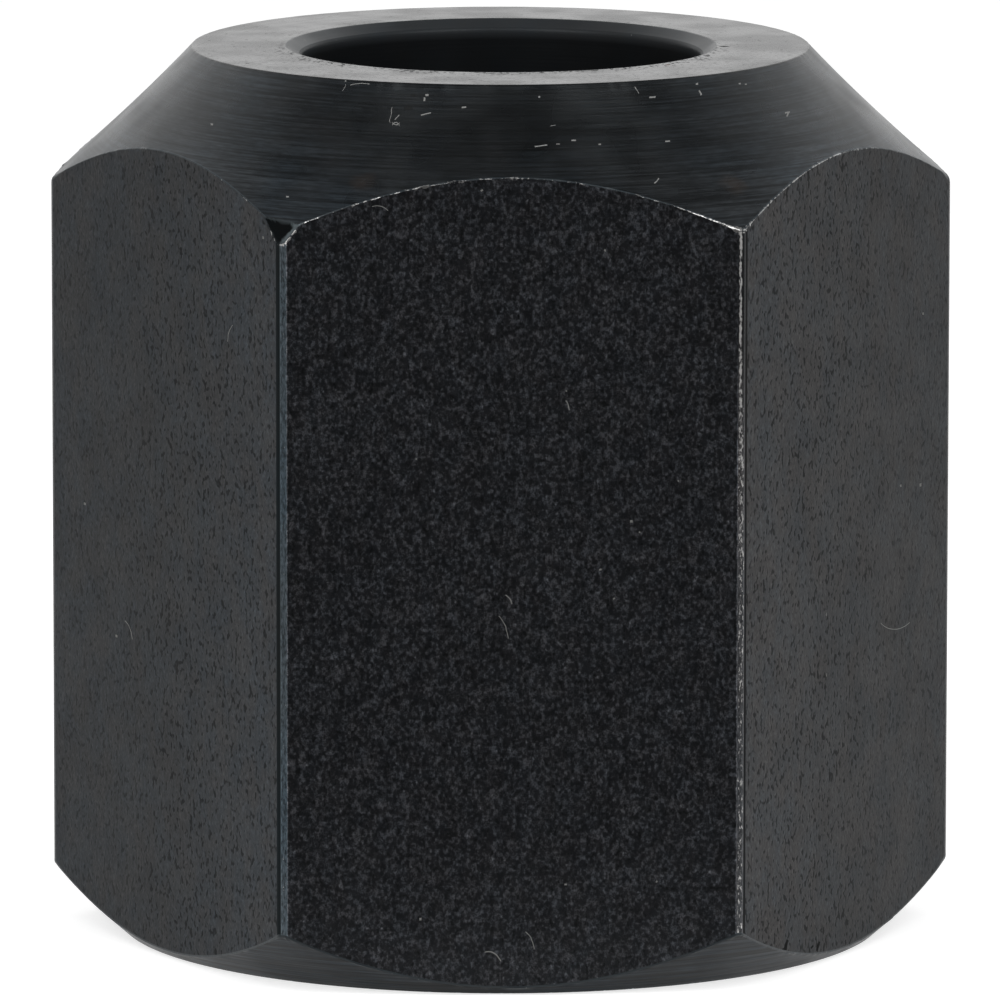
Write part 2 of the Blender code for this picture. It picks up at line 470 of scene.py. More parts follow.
def dent(points, wear, tone_and_painted_light, angles):
    """Flattens the corner that was struck, with painted shade on the facet and a painted highlight along its lower
    edge, which is also worn bare. Gives the facet's points.
    """
    foot = np.array([LAND_RADIUS, flank_height(LAND_RADIUS) - DENT_FOOT])
    top = np.array([LAND_RADIUS - DENT_TOP_RADIUS_DROP, flank_height(LAND_RADIUS) + DENT_TOP_RISE])
    up = top - foot
    outward, upward = np.array([up[1], -up[0]]) / np.hypot(*up)
    heading = DENT_CORNER + DENT_TURN
    normal = np.array([math.cos(heading) * outward, math.sin(heading) * outward, upward])
    anchor = np.array([math.cos(DENT_CORNER) * foot[0], math.sin(DENT_CORNER) * foot[0], foot[1]])
    meet_dent(points, (points - anchor) @ normal)
    above = (points - anchor) @ normal
    edge = np.exp(-(above / 0.022) ** 2) * (points[:, :, 2] < flank_height(LAND_RADIUS) + 0.05)
    struck = above > 0.003
    wear[:] = np.where(struck, 0.0, wear)
    aside = corner_gap(angles)
    uneven = 0.9 + 0.25 * np.clip(aside / 0.1, -1, 1) + 0.25 * ragged(points.shape[1], 3, 17)
    wear[:] = np.maximum(wear, edge * uneven)
    risen = np.clip(points[:, :, 2] - flank_height(LAND_RADIUS), 0, 0.1)
    shade_depth = above - DENT_HIGHLIGHT_SLANT * np.clip(aside + 0.02, 0, 0.5) + np.clip(-aside, 0, 0.1) + risen
    tone_and_painted_light[:] = np.where(struck, np.interp(shade_depth, DENT_DARK_DEPTH, DENT_PAINTED_LIGHT), tone_and_painted_light)
    points -= np.clip(above, 0, None)[:, :, None] * normal
    return struck


SEAT_TOP = HEIGHT - MOUTH_DEPTH - BORE_LAND
SEAT_FOOT = SEAT_TOP - (CAVITY_RADIUS - BORE_RADIUS) / math.tan(SEAT_HALF_ANGLE)
RELIEF_TOP = SEAT_FOOT - CAVITY_LENGTH
RELIEF_FOOT = RELIEF_TOP - RELIEF_WIDTH
RELIEF_LOWER_LEAN = (RELIEF_RADIUS - THREAD_MINOR_RADIUS) / RELIEF_WALL_SLOPE
RELIEF_UPPER_LEAN = (RELIEF_RADIUS - CAVITY_RADIUS) / RELIEF_WALL_SLOPE
THREAD_TOP = RELIEF_FOOT + RELIEF_LOWER_LEAN


def inner_rows():
    """Rows from the mouth down through the bore, the seat and the groove to the thread."""
    rows = Rows(INNER_COLUMNS)
    chamfer = math.atan2(MOUTH_DEPTH, BORE_RADIUS - MOUTH_RADIUS)
    tangent = MOUTH_ROUND * math.tan((math.pi - chamfer) / 2)
    fray = 0.008 * ragged(INNER_COLUMNS, 2, 41)
    rows.add(MOUTH_RADIUS + tangent + 0.15, HEIGHT, "nose_face")
    rows.add(MOUTH_RADIUS + tangent + 0.03 + fray, HEIGHT, "nose_face")
    rows.round(
        MOUTH_RADIUS + tangent + fray, HEIGHT - MOUTH_ROUND, MOUTH_ROUND,
        math.pi / 2, 2 * math.pi - chamfer - math.pi / 2, "mouth_chamfer", 0.3,
    )
    for share in (0.3, 0.55, 0.8):
        rows.add(
            MOUTH_RADIUS + (BORE_RADIUS - MOUTH_RADIUS) * share,
            HEIGHT - MOUTH_DEPTH * share,
            "mouth_chamfer",
        )
    rows.add(BORE_RADIUS + 0.02, HEIGHT - MOUTH_DEPTH * 0.94, "bore", 0.3)
    rows.add(BORE_RADIUS, HEIGHT - MOUTH_DEPTH - 0.03, "bore")
    for share in (0.05, 0.11, 0.4, 0.7, 1.0):
        rows.add(BORE_RADIUS, HEIGHT - MOUTH_DEPTH - BORE_LAND * share, "bore" if share < 1 else "seat")
    for share in (0.02, 0.25, 0.5, 0.75, 1.0):
        rows.add(
            BORE_RADIUS + (CAVITY_RADIUS - BORE_RADIUS) * share,
            SEAT_TOP + (SEAT_FOOT - SEAT_TOP) * share,
            "seat" if share < 1 else "groove",
        )
    for share in (0.02, 0.5, 1.0):
        rows.add(CAVITY_RADIUS, SEAT_FOOT - CAVITY_LENGTH * share, "groove")
    for share in (0.3, 0.65, 1.0):
        rows.add(
            CAVITY_RADIUS + (RELIEF_RADIUS - CAVITY_RADIUS) * share,
            RELIEF_TOP - RELIEF_UPPER_LEAN * share,
            "groove",
        )
    rows.add(RELIEF_RADIUS, (RELIEF_TOP - RELIEF_UPPER_LEAN + THREAD_TOP) / 2, "groove")
    rows.add(RELIEF_RADIUS, THREAD_TOP, "thread")
    return rows


def thread_steps():
    """Shares of one pitch at which the thread has a row: crest, flank, root, flank."""
    crest, root = 0.25, 0.125
    flank = (1 - crest - root) / 2
    crest_steps = np.linspace(0, crest, 3)[:-1]
    up_steps = crest + np.linspace(0, flank, 3)[:-1]
    root_steps = crest + flank + np.linspace(0, root, 3)[:-1]
    down_steps = crest + flank + root + np.linspace(0, flank, 3)[:-1]
    return np.concatenate([crest_steps, up_steps, root_steps, down_steps]), crest, root, flank


def thread_radius(share):
    """Radius of the thread at this share of a pitch above the start of its crest."""
    crest, root = thread_steps()[1:3]
    flank = thread_steps()[3]
    up = np.clip((share - crest) / flank, 0, 1)
    down = np.clip((share - crest - flank - root) / flank, 0, 1)
    return THREAD_MINOR_RADIUS + (THREAD_MAJOR_RADIUS - THREAD_MINOR_RADIUS) * (up - down)


def thread_points():
    """A right-hand helical thread: each row climbs one pitch a turn, held between the face and the groove."""
    steps = thread_steps()[0]
    pitches = int(math.ceil(THREAD_TOP / THREAD_PITCH)) + 2
    share = np.concatenate([steps + k for k in range(pitches)] + [[pitches]]) - 1
    turn = np.arange(INNER_COLUMNS) / INNER_COLUMNS
    height = (share[:, None] + turn[None, :]) * THREAD_PITCH
    inside = np.clip(height, 0, THREAD_TOP)
    radius = np.repeat(thread_radius(share % 1)[:, None], INNER_COLUMNS, axis=1)
    entry = ENTRY_RADIUS - inside
    groove = THREAD_MINOR_RADIUS + (inside - RELIEF_FOOT) * RELIEF_WALL_SLOPE
    radius = np.maximum(radius, np.maximum(entry, groove))
    radius = np.where(height <= 0, ENTRY_RADIUS, np.where(height >= THREAD_TOP, RELIEF_RADIUS, radius))
    angles = inner_angles()
    points = np.stack([radius * np.cos(angles), radius * np.sin(angles), inside], axis=2)
    return points[::-1], len(steps)


ZONES = (
    "nose_face", "nose_flank", "worn_arc", "front_flat", "right_flat", "back_flats", "left_flat", "corner",
    "left_corner", "corner_painted_shade", "left_painted_shade", "tail_chamfer", "tail_face", "mouth_chamfer", "bore", "seat", "groove", "thread",
)


class Patchwork:
    """Collects grids of points and the faces between them into one mesh."""

    def __init__(self):
        self.points = []
        self.wear = []
        self.tone_and_painted_light = []
        self.faces = []
        self.zones = []
        self.count = 0

    def grid(self, points, wear, tone_and_painted_light=None):
        first = self.count
        self.points.append(points.reshape(-1, 3))
        self.wear.append(np.asarray(wear).reshape(-1))
        self.tone_and_painted_light.append(np.ones(wear.size) if tone_and_painted_light is None else tone_and_painted_light.reshape(-1))
        self.count += points.shape[0] * points.shape[1]
        return first + np.arange(points.shape[0] * points.shape[1]).reshape(points.shape[:2])

    def skin(self, index, zone_of, flip=False, climb=0):
        """Quads between neighbouring rows, where the last column may join the first one some rows on."""
        rows, columns = index.shape
        for row in range(rows - 1):
            for column in range(columns):
                after = (column + 1) % columns
                shift = climb if after == 0 else 0
                upper = index[min(max(row - shift, 0), rows - 1), after]
                lower = index[min(max(row + 1 - shift, 0), rows - 1), after]
                face = (index[row, column], index[row + 1, column], lower, upper)
                self.faces.append(face[::-1] if flip else face)
                self.zones.append(zone_of(row, column))

    def annulus(self, outer, inner, zone, flip=False):
        """Flat faces between a ring of outer columns and a ring of inner ones."""
        for column in range(len(inner)):
            start = column * OUTER_PER_INNER
            rim = [outer[(start + step) % len(outer)] for step in range(OUTER_PER_INNER + 1)]
            face = rim + [inner[(column + 1) % len(inner)], inner[column]]
            self.faces.append(tuple(face[::-1] if flip else face))
            self.zones.append(ZONES.index(zone))

    def mesh(self, name):
        mesh = bpy.data.meshes.new(name)
        mesh.from_pydata(np.concatenate(self.points) * MM, [], self.faces)
        mesh.polygons.foreach_set("material_index", np.array(self.zones, np.int32))
        for layer_name, values in (("wear", self.wear), ("tone_and_painted_light", self.tone_and_painted_light)):
            layer = mesh.attributes.new(layer_name, "FLOAT", "POINT")
            layer.data.foreach_set("value", np.concatenate(values).astype(np.float32))
        return mesh


def weld(mesh):
    """Merges the thread's rows that end together at a face or in the groove."""
    bm = bmesh.new()
    bm.from_mesh(mesh)
    bmesh.ops.remove_doubles(bm, verts=bm.verts[:], dist=WELD * MM)
    bmesh.ops.recalc_face_normals(bm, faces=bm.faces[:])
    bm.to_mesh(mesh)
    bm.free()


def flat_zones(angles):
    """What each column of faces on the flats is: part of a flat, a corner's band of wear and painted highlight, or
    the line of painted shade beside it.
    """
    middle = angles + (np.roll(angles, -1) - angles) % (2 * math.pi) / 2
    names = ("front_flat", "right_flat", "back_flats", "back_flats", "back_flats", "left_flat")
    side = np.round((middle - FRONT) / SECTOR).astype(int) % HEX_SIDES
    gap = corner_gap(middle)
    line_low, line_high = by_corner(middle, CORNER_SHADE_LINE).T
    on_band = np.abs(place_in_band(middle)) < 1
    on_shade_line = (gap > line_low) & (gap < line_high) & ~on_band
    zones = np.array(names, object)[side]
    zones[on_shade_line] = "corner_painted_shade"
    zones[on_band] = "corner"
    at_left = np.abs(middle - FRONT + SECTOR / 2) < SECTOR / 4
    at_left |= np.abs(middle - FRONT - 11 * SECTOR / 2) < SECTOR / 4
    zones[on_band & at_left] = "left_corner"
    zones[on_shade_line & at_left] = "left_painted_shade"
    return zones


def nut_mesh():
    angles = outer_angles()
    outside = outer_rows(angles)
    points = outside.points(angles)
    on_flat = (np.array(outside.zone) == "flat")[:, None]
    height = np.array(outside.height)
    depth = np.clip((flank_height(LAND_RADIUS) - height) / flank_height(LAND_RADIUS), 0, 1)
    by_corners = np.array([corner_wear(angles, row) for row in depth])
    wear = np.maximum(np.array(outside.wear), by_corners * on_flat)
    flat_tones_and_painted_light = np.array([corner_tone_and_painted_light(angles, row) for row in depth])
    on_flank = (np.array(outside.zone) == "nose_flank")[:, None]
    tone_and_painted_light = np.where(on_flat, flat_tones_and_painted_light, np.where(on_flank, painted_flank_light(angles, height), 1.0))
    roughen_edges(points, outside, angles)
    struck = dent(points, wear, tone_and_painted_light, angles)
    inside = inner_rows()
    inner_points = inside.points(inner_angles())
    on_bore = (np.array(inside.zone) == "bore")[:, None]
    below_mouth = HEIGHT - MOUTH_DEPTH - np.array(inside.height)
    inner_painted_shade = np.where(on_bore, np.interp(below_mouth, BORE_SHADE_FADE, (1.0, BORE_PAINTED_SHADE)), 1.0)
    helix, rows_a_pitch = thread_points()

    on_flats = flat_zones(angles)

    def outside_zone(row, column):
        zone = outside.zone[row + 1]
        # A struck facet takes the dark finish of painted shade
        if struck[row:row + 2, column].any() and struck[row:row + 2, (column + 1) % len(angles)].any():
            zone = "left_painted_shade"
        return ZONES.index(on_flats[column] if zone == "flat" else zone)

    patch = Patchwork()
    outer_index = patch.grid(points, wear, tone_and_painted_light)
    inner_index = patch.grid(inner_points, np.array(inside.wear), inner_painted_shade)
    thread_index = patch.grid(helix, np.zeros(helix.shape[:2]))
    patch.skin(outer_index, outside_zone)
    patch.skin(inner_index, lambda row, column: ZONES.index(inside.zone[row + 1]), flip=True)
    patch.skin(thread_index, lambda row, column: ZONES.index("thread"), flip=True, climb=rows_a_pitch)
    patch.annulus(outer_index[0], inner_index[0], "nose_face")
    patch.annulus(outer_index[-1], thread_index[-1], "tail_face", flip=True)
    mesh = patch.mesh("collet_nut_finish")
    weld(mesh)
    mesh.shade_smooth()
    mesh.set_sharp_from_angle(angle=SMOOTH_LIMIT)
    return mesh


class Shader:
    """Short ways to add nodes to one material or world."""

    def __init__(self, tree):
        self.tree = tree

    def node(self, kind, settings=None, **inputs):
        made = self.tree.nodes.new(kind)
        for name, value in (settings or {}).items():
            setattr(made, name, value)
        for name, value in inputs.items():
            self.feed(made.inputs[name.replace("_", " ")], value)
        return made

    def feed(self, socket, value):
        if isinstance(value, bpy.types.NodeSocket):
            self.tree.links.new(value, socket)
        else:
            socket.default_value = value

    def math(self, operation, *values, clamp=False):
        made = self.tree.nodes.new("ShaderNodeMath")
        made.operation = operation
        made.use_clamp = clamp
        for socket, value in zip(made.inputs, values):
            self.feed(socket, value)
        return made.outputs[0]

    def vector(self, operation, *values, output="Vector"):
        made = self.tree.nodes.new("ShaderNodeVectorMath")
        made.operation = operation
        for socket, value in zip(made.inputs, values):
            self.feed(socket, value)
        return made.outputs[output]

    def ease(self, value, low, high, start=0.0, end=1.0):
        """Goes smoothly from start to end as the value goes from low to high."""
        made = self.node("ShaderNodeMapRange", {"interpolation_type": "SMOOTHSTEP"}, Value=value)
        for name, number in (("From Min", low), ("From Max", high), ("To Min", start), ("To Max", end)):
            self.feed(made.inputs[name], number)
        return made.outputs[0]

    def mix(self, share, a, b):
        """Mixes two colours."""
        made = self.tree.nodes.new("ShaderNodeMix")
        made.data_type = "RGBA"
        self.feed(made.inputs[0], share)
        self.feed(made.inputs[6], a)
        self.feed(made.inputs[7], b)
        return made.outputs[2]

    def blend(self, share, a, b):
        """Mixes two numbers."""
        made = self.tree.nodes.new("ShaderNodeMix")
        self.feed(made.inputs[0], share)
        self.feed(made.inputs[2], a)
        self.feed(made.inputs[3], b)
        return made.outputs[0]

    def noise(self, place, scale, detail=2.0, roughness=0.5, distortion=0.0):
        stretched = self.vector("MULTIPLY", place, scale)
        made = self.node("ShaderNodeTexNoise", Vector=stretched, Scale=1.0, Detail=detail)
        made.inputs["Roughness"].default_value = roughness
        made.inputs["Distortion"].default_value = distortion
        return made.outputs["Fac"]

    def cells(self, place, scale):
        """Distance to the nearest of scattered points, and a random colour for each."""
        stretched = self.vector("MULTIPLY", place, scale)
        made = self.node("ShaderNodeTexVoronoi", Vector=stretched, Scale=1.0)
        return made.outputs["Distance"], made.outputs["Color"]


def place_in_mm(shader):
    """A point's place on the nut in millimetres."""
    made = shader.tree.nodes.new("ShaderNodeVectorMath")
    made.operation = "SCALE"
    made.inputs["Scale"].default_value = 1 / MM
    shader.feed(made.inputs[0], shader.node("ShaderNodeTexCoord").outputs["Object"])
    return made.outputs[0]


def ringed_place(shader, place):
    """On a face turned square to the axis the last number is the radius, so that marks run in rings."""
    parts = shader.node("ShaderNodeSeparateXYZ", Vector=place).outputs
    level = shader.node("ShaderNodeCombineXYZ", X=parts[0], Y=parts[1]).outputs[0]
    radius = shader.vector("LENGTH", level, output="Value")
    return shader.node("ShaderNodeCombineXYZ", X=parts[0], Y=parts[1], Z=radius).outputs[0]


def scaled_colour(shader, colour, amount):
    made = shader.tree.nodes.new("ShaderNodeVectorMath")
    made.operation = "SCALE"
    shader.feed(made.inputs[0], colour)
    shader.feed(made.inputs["Scale"], amount)
    return made.outputs[0]


def specks(shader, place, spacing, size, share, seed):
    """Scattered specks: their spacing and largest size in millimetres, and the share of cells with one."""
    moved = shader.vector("ADD", place, (seed, seed * 0.7, seed * 1.3))
    shake = shader.node("ShaderNodeTexNoise", Vector=moved, Scale=9.0, Detail=1.0).outputs["Color"]
    shaken = shader.vector("ADD", moved, shader.vector("MULTIPLY", shake, (0.12, 0.12, 0.12)))
    distance, colour = shader.cells(shaken, (1 / spacing,) * 3)
    parts = shader.node("ShaderNodeSeparateXYZ", Vector=colour).outputs
    chosen = shader.math("GREATER_THAN", parts[0], 1 - share)
    radius = shader.math("MULTIPLY", parts[1], size / spacing)
    inside = shader.math("LESS_THAN", distance, radius)
    return shader.math("MULTIPLY", inside, chosen)


def one_mark(shader, across, up, mark):
    """A thin bent fibre or a speck: its place, length, lean in degrees, bend and half width."""
    mark_across, mark_up, length, lean, bend, half_width = mark
    lean = math.radians(lean)
    x = shader.math("SUBTRACT", across, mark_across)
    y = shader.math("SUBTRACT", up, mark_up)
    along_x = shader.math("MULTIPLY", x, math.cos(lean))
    along = shader.math("MULTIPLY_ADD", y, math.sin(lean), along_x)
    aside_x = shader.math("MULTIPLY", x, -math.sin(lean))
    aside = shader.math("MULTIPLY_ADD", y, math.cos(lean), aside_x)
    share = shader.math("DIVIDE", along, length / 2)
    squared = shader.math("MULTIPLY", share, share)
    bowed = shader.math("MULTIPLY_ADD", squared, bend, aside)
    thick = shader.math("LESS_THAN", shader.math("ABSOLUTE", bowed), half_width)
    within = shader.math("LESS_THAN", squared, 1.0)
    return shader.math("MULTIPLY", thick, within)


def placed_marks(shader, place, heading, marks):
    """Marks on one side of the nut, at their places across and up that side."""
    turn = math.radians(heading)
    parts = shader.node("ShaderNodeSeparateXYZ", Vector=place).outputs
    wobble = shader.math("MULTIPLY_ADD", shader.noise(place, (4, 4, 4), detail=1.0), 0.08, -0.04)
    across = shader.vector("DOT_PRODUCT", place, (math.cos(turn), math.sin(turn), 0), output="Value")
    across = shader.math("ADD", across, wobble)
    facing = shader.vector("DOT_PRODUCT", place, (math.sin(turn), -math.cos(turn), 0), output="Value")
    total = None
    for mark in marks:
        part = one_mark(shader, across, parts[2], mark)
        total = part if total is None else shader.math("MAXIMUM", total, part)
    return shader.math("MULTIPLY", total, shader.math("GREATER_THAN", facing, 4.0))


def soft_spots(shader, place, spots):
    """Soft round stains, each at a place on the nut with its radius."""
    total = None
    for spot, radius in spots:
        distance = shader.vector("DISTANCE", place, spot, output="Value")
        ragged_edge = shader.math("MULTIPLY_ADD", shader.noise(place, (3, 3, 3), detail=2.0), radius, distance)
        part = shader.ease(ragged_edge, radius * 0.6, radius * 1.5, 1.0, 0.0)
        total = part if total is None else shader.math("MAXIMUM", total, part)
    return total


# Fibres and specks of lint: across, up, length, lean, bend and half width
FRONT_MARKS = (
    (1.35, 14.26, 0.25, -67, 0.02, 0.014),
    (-0.04, 9.60, 0.27, -54, 0.02, 0.014),
    (-0.13, 8.94, 0.60, -67, 0.06, 0.010),
    (-0.39, 1.03, 0.44, -30, 0.10, 0.016),
    (0.50, 1.35, 0.47, -66, 0.05, 0.010),
    (-3.10, 19.03, 0.40, -14, 0.06, 0.010),
    (2.85, 11.46, 0.06, 0, 0.0, 0.03),
    (2.11, 10.30, 0.05, 20, 0.0, 0.02),
    (2.45, 9.60, 0.05, 40, 0.0, 0.02),
    (1.30, 2.69, 0.06, 0, 0.0, 0.02),
    (-2.16, 1.86, 0.05, 10, 0.0, 0.03),
    (3.48, 2.75, 0.05, 60, 0.0, 0.02),
    (-0.70, 19.40, 0.06, 30, 0.0, 0.02),
)
LEFT_MARKS = (
    (-1.70, 7.85, 0.55, -48, 0.08, 0.014),
    (3.10, 15.72, 0.50, 60, 0.05, 0.012),
    (-3.88, 10.60, 0.12, 0, 0.0, 0.03),
    (4.73, 18.19, 0.08, 0, 0.0, 0.03),
    (-2.34, 7.56, 0.10, 0, 0.0, 0.03),
)
RIGHT_MARKS = (
    (2.60, 7.62, 1.60, -8, -0.16, 0.010),
    (3.95, 10.99, 0.10, 0, 0.0, 0.04),
    (2.88, 11.12, 0.08, 0, 0.0, 0.03),
    (4.02, 15.20, 0.08, 0, 0.0, 0.03),
)
NOSE_MARKS = (
    (-3.54, 21.59, 0.46, 6, 0.025, 0.007),
    (-3.92, 21.48, 0.16, 60, 0, 0.005),
    (-3.88, 21.62, 0.04, 0, 0, 0.012),
    (4.51, 21.49, 0.05, 0, 0, 0.019),
    (4.59, 21.30, 0.11, -62, 0, 0.019),
    (5.58, 21.39, 0.05, 0, 0, 0.015),
    (5.73, 21.36, 0.04, 0, 0, 0.012),
    (3.04, 21.46, 0.17, -56, 0, 0.010),
    (-1.96, 21.41, 0.07, 0, 0, 0.022),
    (-2.03, 21.32, 0.08, 85, 0, 0.019),
    (0.70, 21.39, 0.05, 0, 0, 0.019),
    (3.42, 21.29, 0.13, 0, 0, 0.017),
    (-1.09, 21.17, 0.12, 6, 0, 0.017),
    (-2.82, 20.96, 0.34, 82, 0, 0.006),
    (-2.70, 20.81, 0.18, 0, 0.06, 0.009),
    (-2.70, 20.76, 0.18, 0, -0.05, 0.009),
    (-2.67, 20.92, 0.14, 50, 0, 0.008),
    (-2.00, 21.01, 0.23, 14, 0, 0.011),
    (6.72, 20.66, 0.11, 0, 0, 0.014),
    (6.73, 20.62, 0.08, 75, 0, 0.014),
    (-7.07, 20.41, 0.06, 0, 0, 0.019),
    (1.02, 20.78, 0.14, 8, 0, 0.006),
    (1.50, 20.46, 0.11, 0, 0, 0.013),
    (3.74, 20.35, 0.11, 0, 0, 0.014),
    (1.13, 20.39, 0.10, 0, 0, 0.008),
    (2.11, 20.36, 0.06, 0, 0, 0.014),
    (0.72, 20.36, 0.28, 7, 0, 0.011),
    (3.45, 19.55, 0.14, 45, 0, 0.013),
    (-5.29, 19.14, 0.06, 0, 0, 0.015),
)
NOSE_STAINS = (((5.3, -8.3, 19.35), 0.45), ((-3.5, -9.0, 19.5), 0.4))

# Smudges and crumbs on the nose face: place and radius
RING_SMUDGES = (((5.05, -0.7, 21.66), 0.22), ((5.4, -0.45, 21.66), 0.16), ((5.06, -3.56, 21.66), 0.05),
                ((6.77, -1.13, 21.66), 0.05), ((-6.2, -3.4, 21.66), 0.08))
RING_RUST = (((3.9, -3.91, 21.66), 0.10),)
RUST = (0.16, 0.07, 0.035, 1)

# Dark crumbs and burrs, in the same numbers
RIGHT_CRUMBS = (
    (-3.09, 0.80, 0.26, 60, 0.03, 0.06),
    (-3.25, 0.68, 0.28, 15, 0.0, 0.05),
    (-1.42, 0.46, 0.24, 60, 0.0, 0.05),
    (-1.72, 0.50, 0.14, 20, 0.0, 0.03),
    (-1.92, 19.54, 0.22, 30, 0.0, 0.035),
    (-1.38, 19.62, 0.12, 20, 0.0, 0.03),
)
NOSE_CRUMBS = (
    (-6.86, 21.46, 0.16, 20, 0.0, 0.05),
    (-2.40, 21.12, 0.22, 10, 0.0, 0.04),
    (-2.30, 21.40, 0.10, 0, 0.0, 0.03),
)

LINT = (0.17, 0.17, 0.165, 1)
NOSE_LINT = (0.19, 0.19, 0.185, 1)
DIRT = (0.004, 0.004, 0.004, 1)
BARE_STEEL = (0.40, 0.395, 0.39, 1)
RUBBED_STEEL = (0.70, 0.69, 0.68, 1)
BROWN = (0.034, 0.024, 0.018, 1)
BARE_METAL_ROUGHNESS = 0.3
WORN_START = 1.1
WORN_END = 1.42


def tinted(shader, place, colour, patch_scale, hue):
    """The oxide's colour, drifting between bluish and brownish in soft patches by this share."""
    drift = shader.ease(shader.noise(place, patch_scale, detail=2.0, roughness=0.6), 0.3, 0.7)
    made = shader.tree.nodes.new("ShaderNodeMix")
    made.data_type = "RGBA"
    made.blend_type = "MULTIPLY"
    made.inputs[0].default_value = 1.0
    made.inputs[6].default_value = (*colour, 1)
    bluish, brownish = (1 - hue, 1.0, 1 + hue * 0.7, 1), (1 + hue * 0.7, 1.0, 1 - hue * 0.5, 1)
    shader.feed(made.inputs[7], shader.mix(drift, bluish, brownish))
    return made.outputs[2]


def relief(shader, place, layers):
    """Sum of noise layers, each (scale, height in micrometres, detail)."""
    total = None
    for scale, amount, detail in layers:
        part = shader.math("MULTIPLY", shader.noise(place, scale, detail=detail), amount)
        total = part if total is None else shader.math("ADD", total, part)
    return total


class Oxide:
    """One zone's finish: black oxide on steel, built up layer by layer."""

    def __init__(self, name, colour, roughness, ior, layers, ringed=False, patches=(0.6, 0.6, 0.3), hue=0.06):
        self.material = bpy.data.materials.new(name)
        self.material.use_nodes = True
        self.shader = Shader(self.material.node_tree)
        self.place = place_in_mm(self.shader)
        self.grain_place = ringed_place(self.shader, self.place) if ringed else self.place
        self.height = relief(self.shader, self.grain_place, layers)
        self.colour = tinted(self.shader, self.place, colour, patches, hue)
        drift = self.shader.noise(self.place, (0.8, 0.8, 0.8), detail=1.0)
        self.roughness = self.shader.ease(drift, 0.3, 0.7, roughness - 0.04, roughness + 0.04)
        self.metal = 0.0
        self.ior = ior
        # This attribute multiplies the colour by painted light and shade: lighter corner bands, dark shade lines
        # beside them, the flank's and the dent's light and shade, shade down the bore, and side flats a little
        # lighter towards the front
        tone_and_painted_light = self.shader.node("ShaderNodeAttribute", {"attribute_name": "tone_and_painted_light"}).outputs["Fac"]
        self.colour = scaled_colour(self.shader, self.colour, tone_and_painted_light)

    def mottle(self, scale, low, high, dark, light, detail=3.0, share=None):
        grain = self.shader.noise(self.grain_place, scale, detail=detail, roughness=0.65)
        amount = self.shader.ease(grain, low, high, dark, light)
        if share is not None:
            amount = self.shader.blend(share, 1.0, amount)
        self.colour = scaled_colour(self.shader, self.colour, amount)
        return self

    def towards_front(self, back_y, front_y, back_share=0.0):
        """Goes from the given share at one depth to the whole at another, nearer the front."""
        depth = self.shader.node("ShaderNodeSeparateXYZ", Vector=self.place).outputs[1]
        return self.shader.ease(depth, front_y, back_y, 1.0, back_share)

    def near_mouth(self):
        """On a ringed face: the whole at the mouth's edge, little further out."""
        radius = self.shader.node("ShaderNodeSeparateXYZ", Vector=self.grain_place).outputs[2]
        return self.shader.ease(radius, MOUTH_RADIUS, MOUTH_RADIUS + 0.7, 1.0, 0.1)

    def pits(self, scale, edge, depth, shade=0.5, soft=0.07, share=None, dull=0.3):
        field = self.shader.noise(self.grain_place, scale, detail=1.0, roughness=0.4)
        hollow = self.shader.ease(field, edge - soft, edge, 1.0, 0.0)
        if share is not None:
            hollow = self.shader.math("MULTIPLY", hollow, share)
        self.height = self.shader.math("MULTIPLY_ADD", hollow, -depth, self.height)
        self.colour = scaled_colour(self.shader, self.colour, self.shader.ease(hollow, 0.0, 1.0, 1.0, shade))
        self.roughness = self.shader.math("MULTIPLY_ADD", hollow, dull, self.roughness)
        return self

    def stains(self, spots, colour=BROWN, strength=0.35):
        mask = self.shader.math("MULTIPLY", soft_spots(self.shader, self.place, spots), strength)
        self.colour = self.shader.mix(mask, self.colour, colour)
        return self

    def worn(self, grain=(11, 11, 9), contrast=1.9, steel=BARE_STEEL, roughness=BARE_METAL_ROUGHNESS):
        """Bare steel where the wear is high, broken up by noise."""
        wear = self.shader.node("ShaderNodeAttribute", {"attribute_name": "wear"}).outputs["Fac"]
        rub = self.shader.noise(self.place, grain, detail=2.0, roughness=0.7)
        rub = self.shader.math("MULTIPLY_ADD", rub, contrast, 0.5 - contrast / 2)
        bare = self.shader.ease(self.shader.math("ADD", wear, rub), WORN_START, WORN_END)
        self.colour = self.shader.mix(bare, self.colour, steel)
        self.metal = bare
        self.roughness = self.shader.blend(bare, self.roughness, roughness)
        return self

    def cover(self, mask, colour, roughness=0.8):
        self.colour = self.shader.mix(mask, self.colour, colour)
        self.metal = self.shader.math("MULTIPLY", self.metal, self.shader.math("SUBTRACT", 1.0, mask))
        self.roughness = self.shader.blend(mask, self.roughness, roughness)
        return self

    def dusty(self, spacing=1.0, size=0.05, share=0.25, seed=3.1):
        return self.cover(specks(self.shader, self.place, spacing, size, share, seed), LINT)

    def marked(self, heading, marks, colour=LINT):
        return self.cover(placed_marks(self.shader, self.place, heading, marks), colour)

    def finish(self, tint=(1, 1, 1, 1)):
        surface = self.material.node_tree.nodes["Principled BSDF"]
        surface.inputs["Specular Tint"].default_value = tint
        bump = self.shader.node("ShaderNodeBump", Height=self.height)
        bump.inputs["Strength"].default_value = 1.0
        bump.inputs["Distance"].default_value = 1e-6
        surface.inputs["IOR"].default_value = self.ior
        self.shader.feed(surface.inputs["Base Color"], self.colour)
        self.shader.feed(surface.inputs["Metallic"], self.metal)
        self.shader.feed(surface.inputs["Roughness"], self.roughness)
        self.shader.feed(surface.inputs["Normal"], bump.outputs[0])
        return self.material


